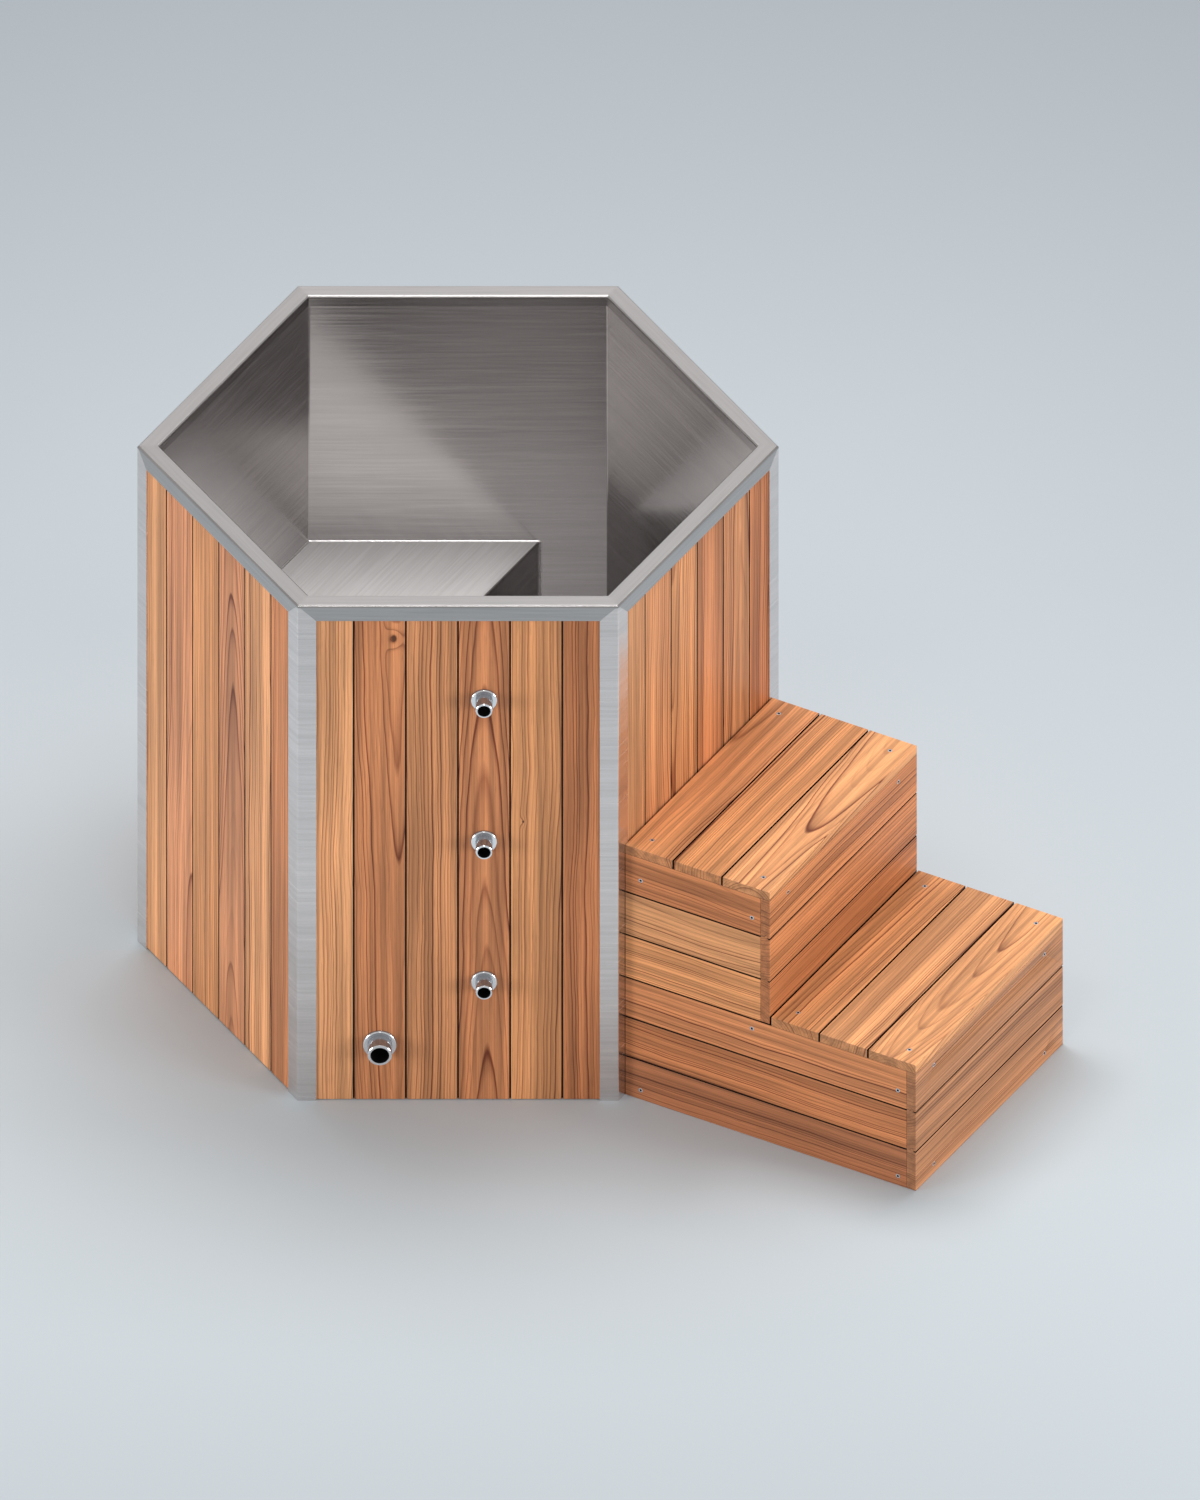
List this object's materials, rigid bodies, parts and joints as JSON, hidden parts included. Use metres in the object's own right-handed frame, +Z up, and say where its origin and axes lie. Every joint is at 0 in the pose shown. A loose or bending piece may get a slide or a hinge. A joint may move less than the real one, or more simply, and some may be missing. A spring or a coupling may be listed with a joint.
{
  "type": "plunge tub with steps",
  "caption": "Tall hexagonal plunge tub with a steel liner, bench and rim, upright wooden cladding, pipe stubs and a free-standing wooden step unit.",
  "frame": {"origin": "on the floor under the middle of the hexagonal tub, at the middle foot's sole", "axes": "+Z up; -Y out of the face with the pipe stubs; +X towards the right-hand corner seen from the front"},
  "size_m": [1.8324, 1.4095, 1.2],
  "materials": {
    "cladding_wood": "oiled softwood boards",
    "step_wood": "oiled softwood boards",
    "frame_timber": "planed softwood",
    "liner_steel": "brushed",
    "trim_steel": "fine brushed",
    "screw_steel": "bright",
    "fitting_chrome": "polished",
    "foot_rubber": "matt"
  },
  "bodies": {
    "tub": {"base_bearers": "frame_timber", "base_rails": "frame_timber", "bench_front": "liner_steel", "bench_ribs": "liner_steel", "bench_seat": "liner_steel", "boards_back": "cladding_wood", "boards_back_left": "cladding_wood", "boards_back_right": "cladding_wood", "boards_front": "cladding_wood", "boards_front_left": "cladding_wood", "boards_front_right": "cladding_wood", "corner_post_back_left": "trim_steel", "corner_post_back_right": "trim_steel", "corner_post_front_left": "trim_steel", "corner_post_front_right": "trim_steel", "corner_post_left": "trim_steel", "corner_post_right": "trim_steel", "corner_studs": "frame_timber", "drain_pipe": "fitting_chrome", "drain_rosette": "fitting_chrome", "feet": "foot_rubber", "liner_floor": "liner_steel", "liner_wall_back": "liner_steel", "liner_wall_back_left": "liner_steel", "liner_wall_back_right": "liner_steel", "liner_wall_front": "liner_steel", "liner_wall_front_left": "liner_steel", "liner_wall_front_right": "liner_steel", "lower_battens": "frame_timber", "middle_battens": "frame_timber", "overflow_pipe": "fitting_chrome", "overflow_rosette": "fitting_chrome", "return_pipe": "fitting_chrome", "return_rosette": "fitting_chrome", "rim_back": "trim_steel", "rim_back_left": "trim_steel", "rim_back_right": "trim_steel", "rim_front": "trim_steel", "rim_front_left": "trim_steel", "rim_front_right": "trim_steel", "suction_pipe": "fitting_chrome", "suction_rosette": "fitting_chrome", "upper_battens": "frame_timber"},
    "steps": {"left_side_boards": "step_wood", "lower_riser": "step_wood", "lower_tread_back": "step_wood", "lower_tread_front": "step_wood", "lower_tread_middle": "step_wood", "right_side_boards": "step_wood", "riser_screws": "screw_steel", "side_screws": "screw_steel", "step_legs": "step_wood", "tread_bearers": "step_wood", "tread_screws": "screw_steel", "upper_riser": "step_wood", "upper_tread_back": "step_wood", "upper_tread_front": "step_wood", "upper_tread_middle": "step_wood"}
  },
  "joints": [
    {"name": "steps_pull_out", "type": "slide", "parent": "tub", "child": "steps", "axis": [0.866, -0.5, 0], "range_m": [0, 0.4]}
  ]
}
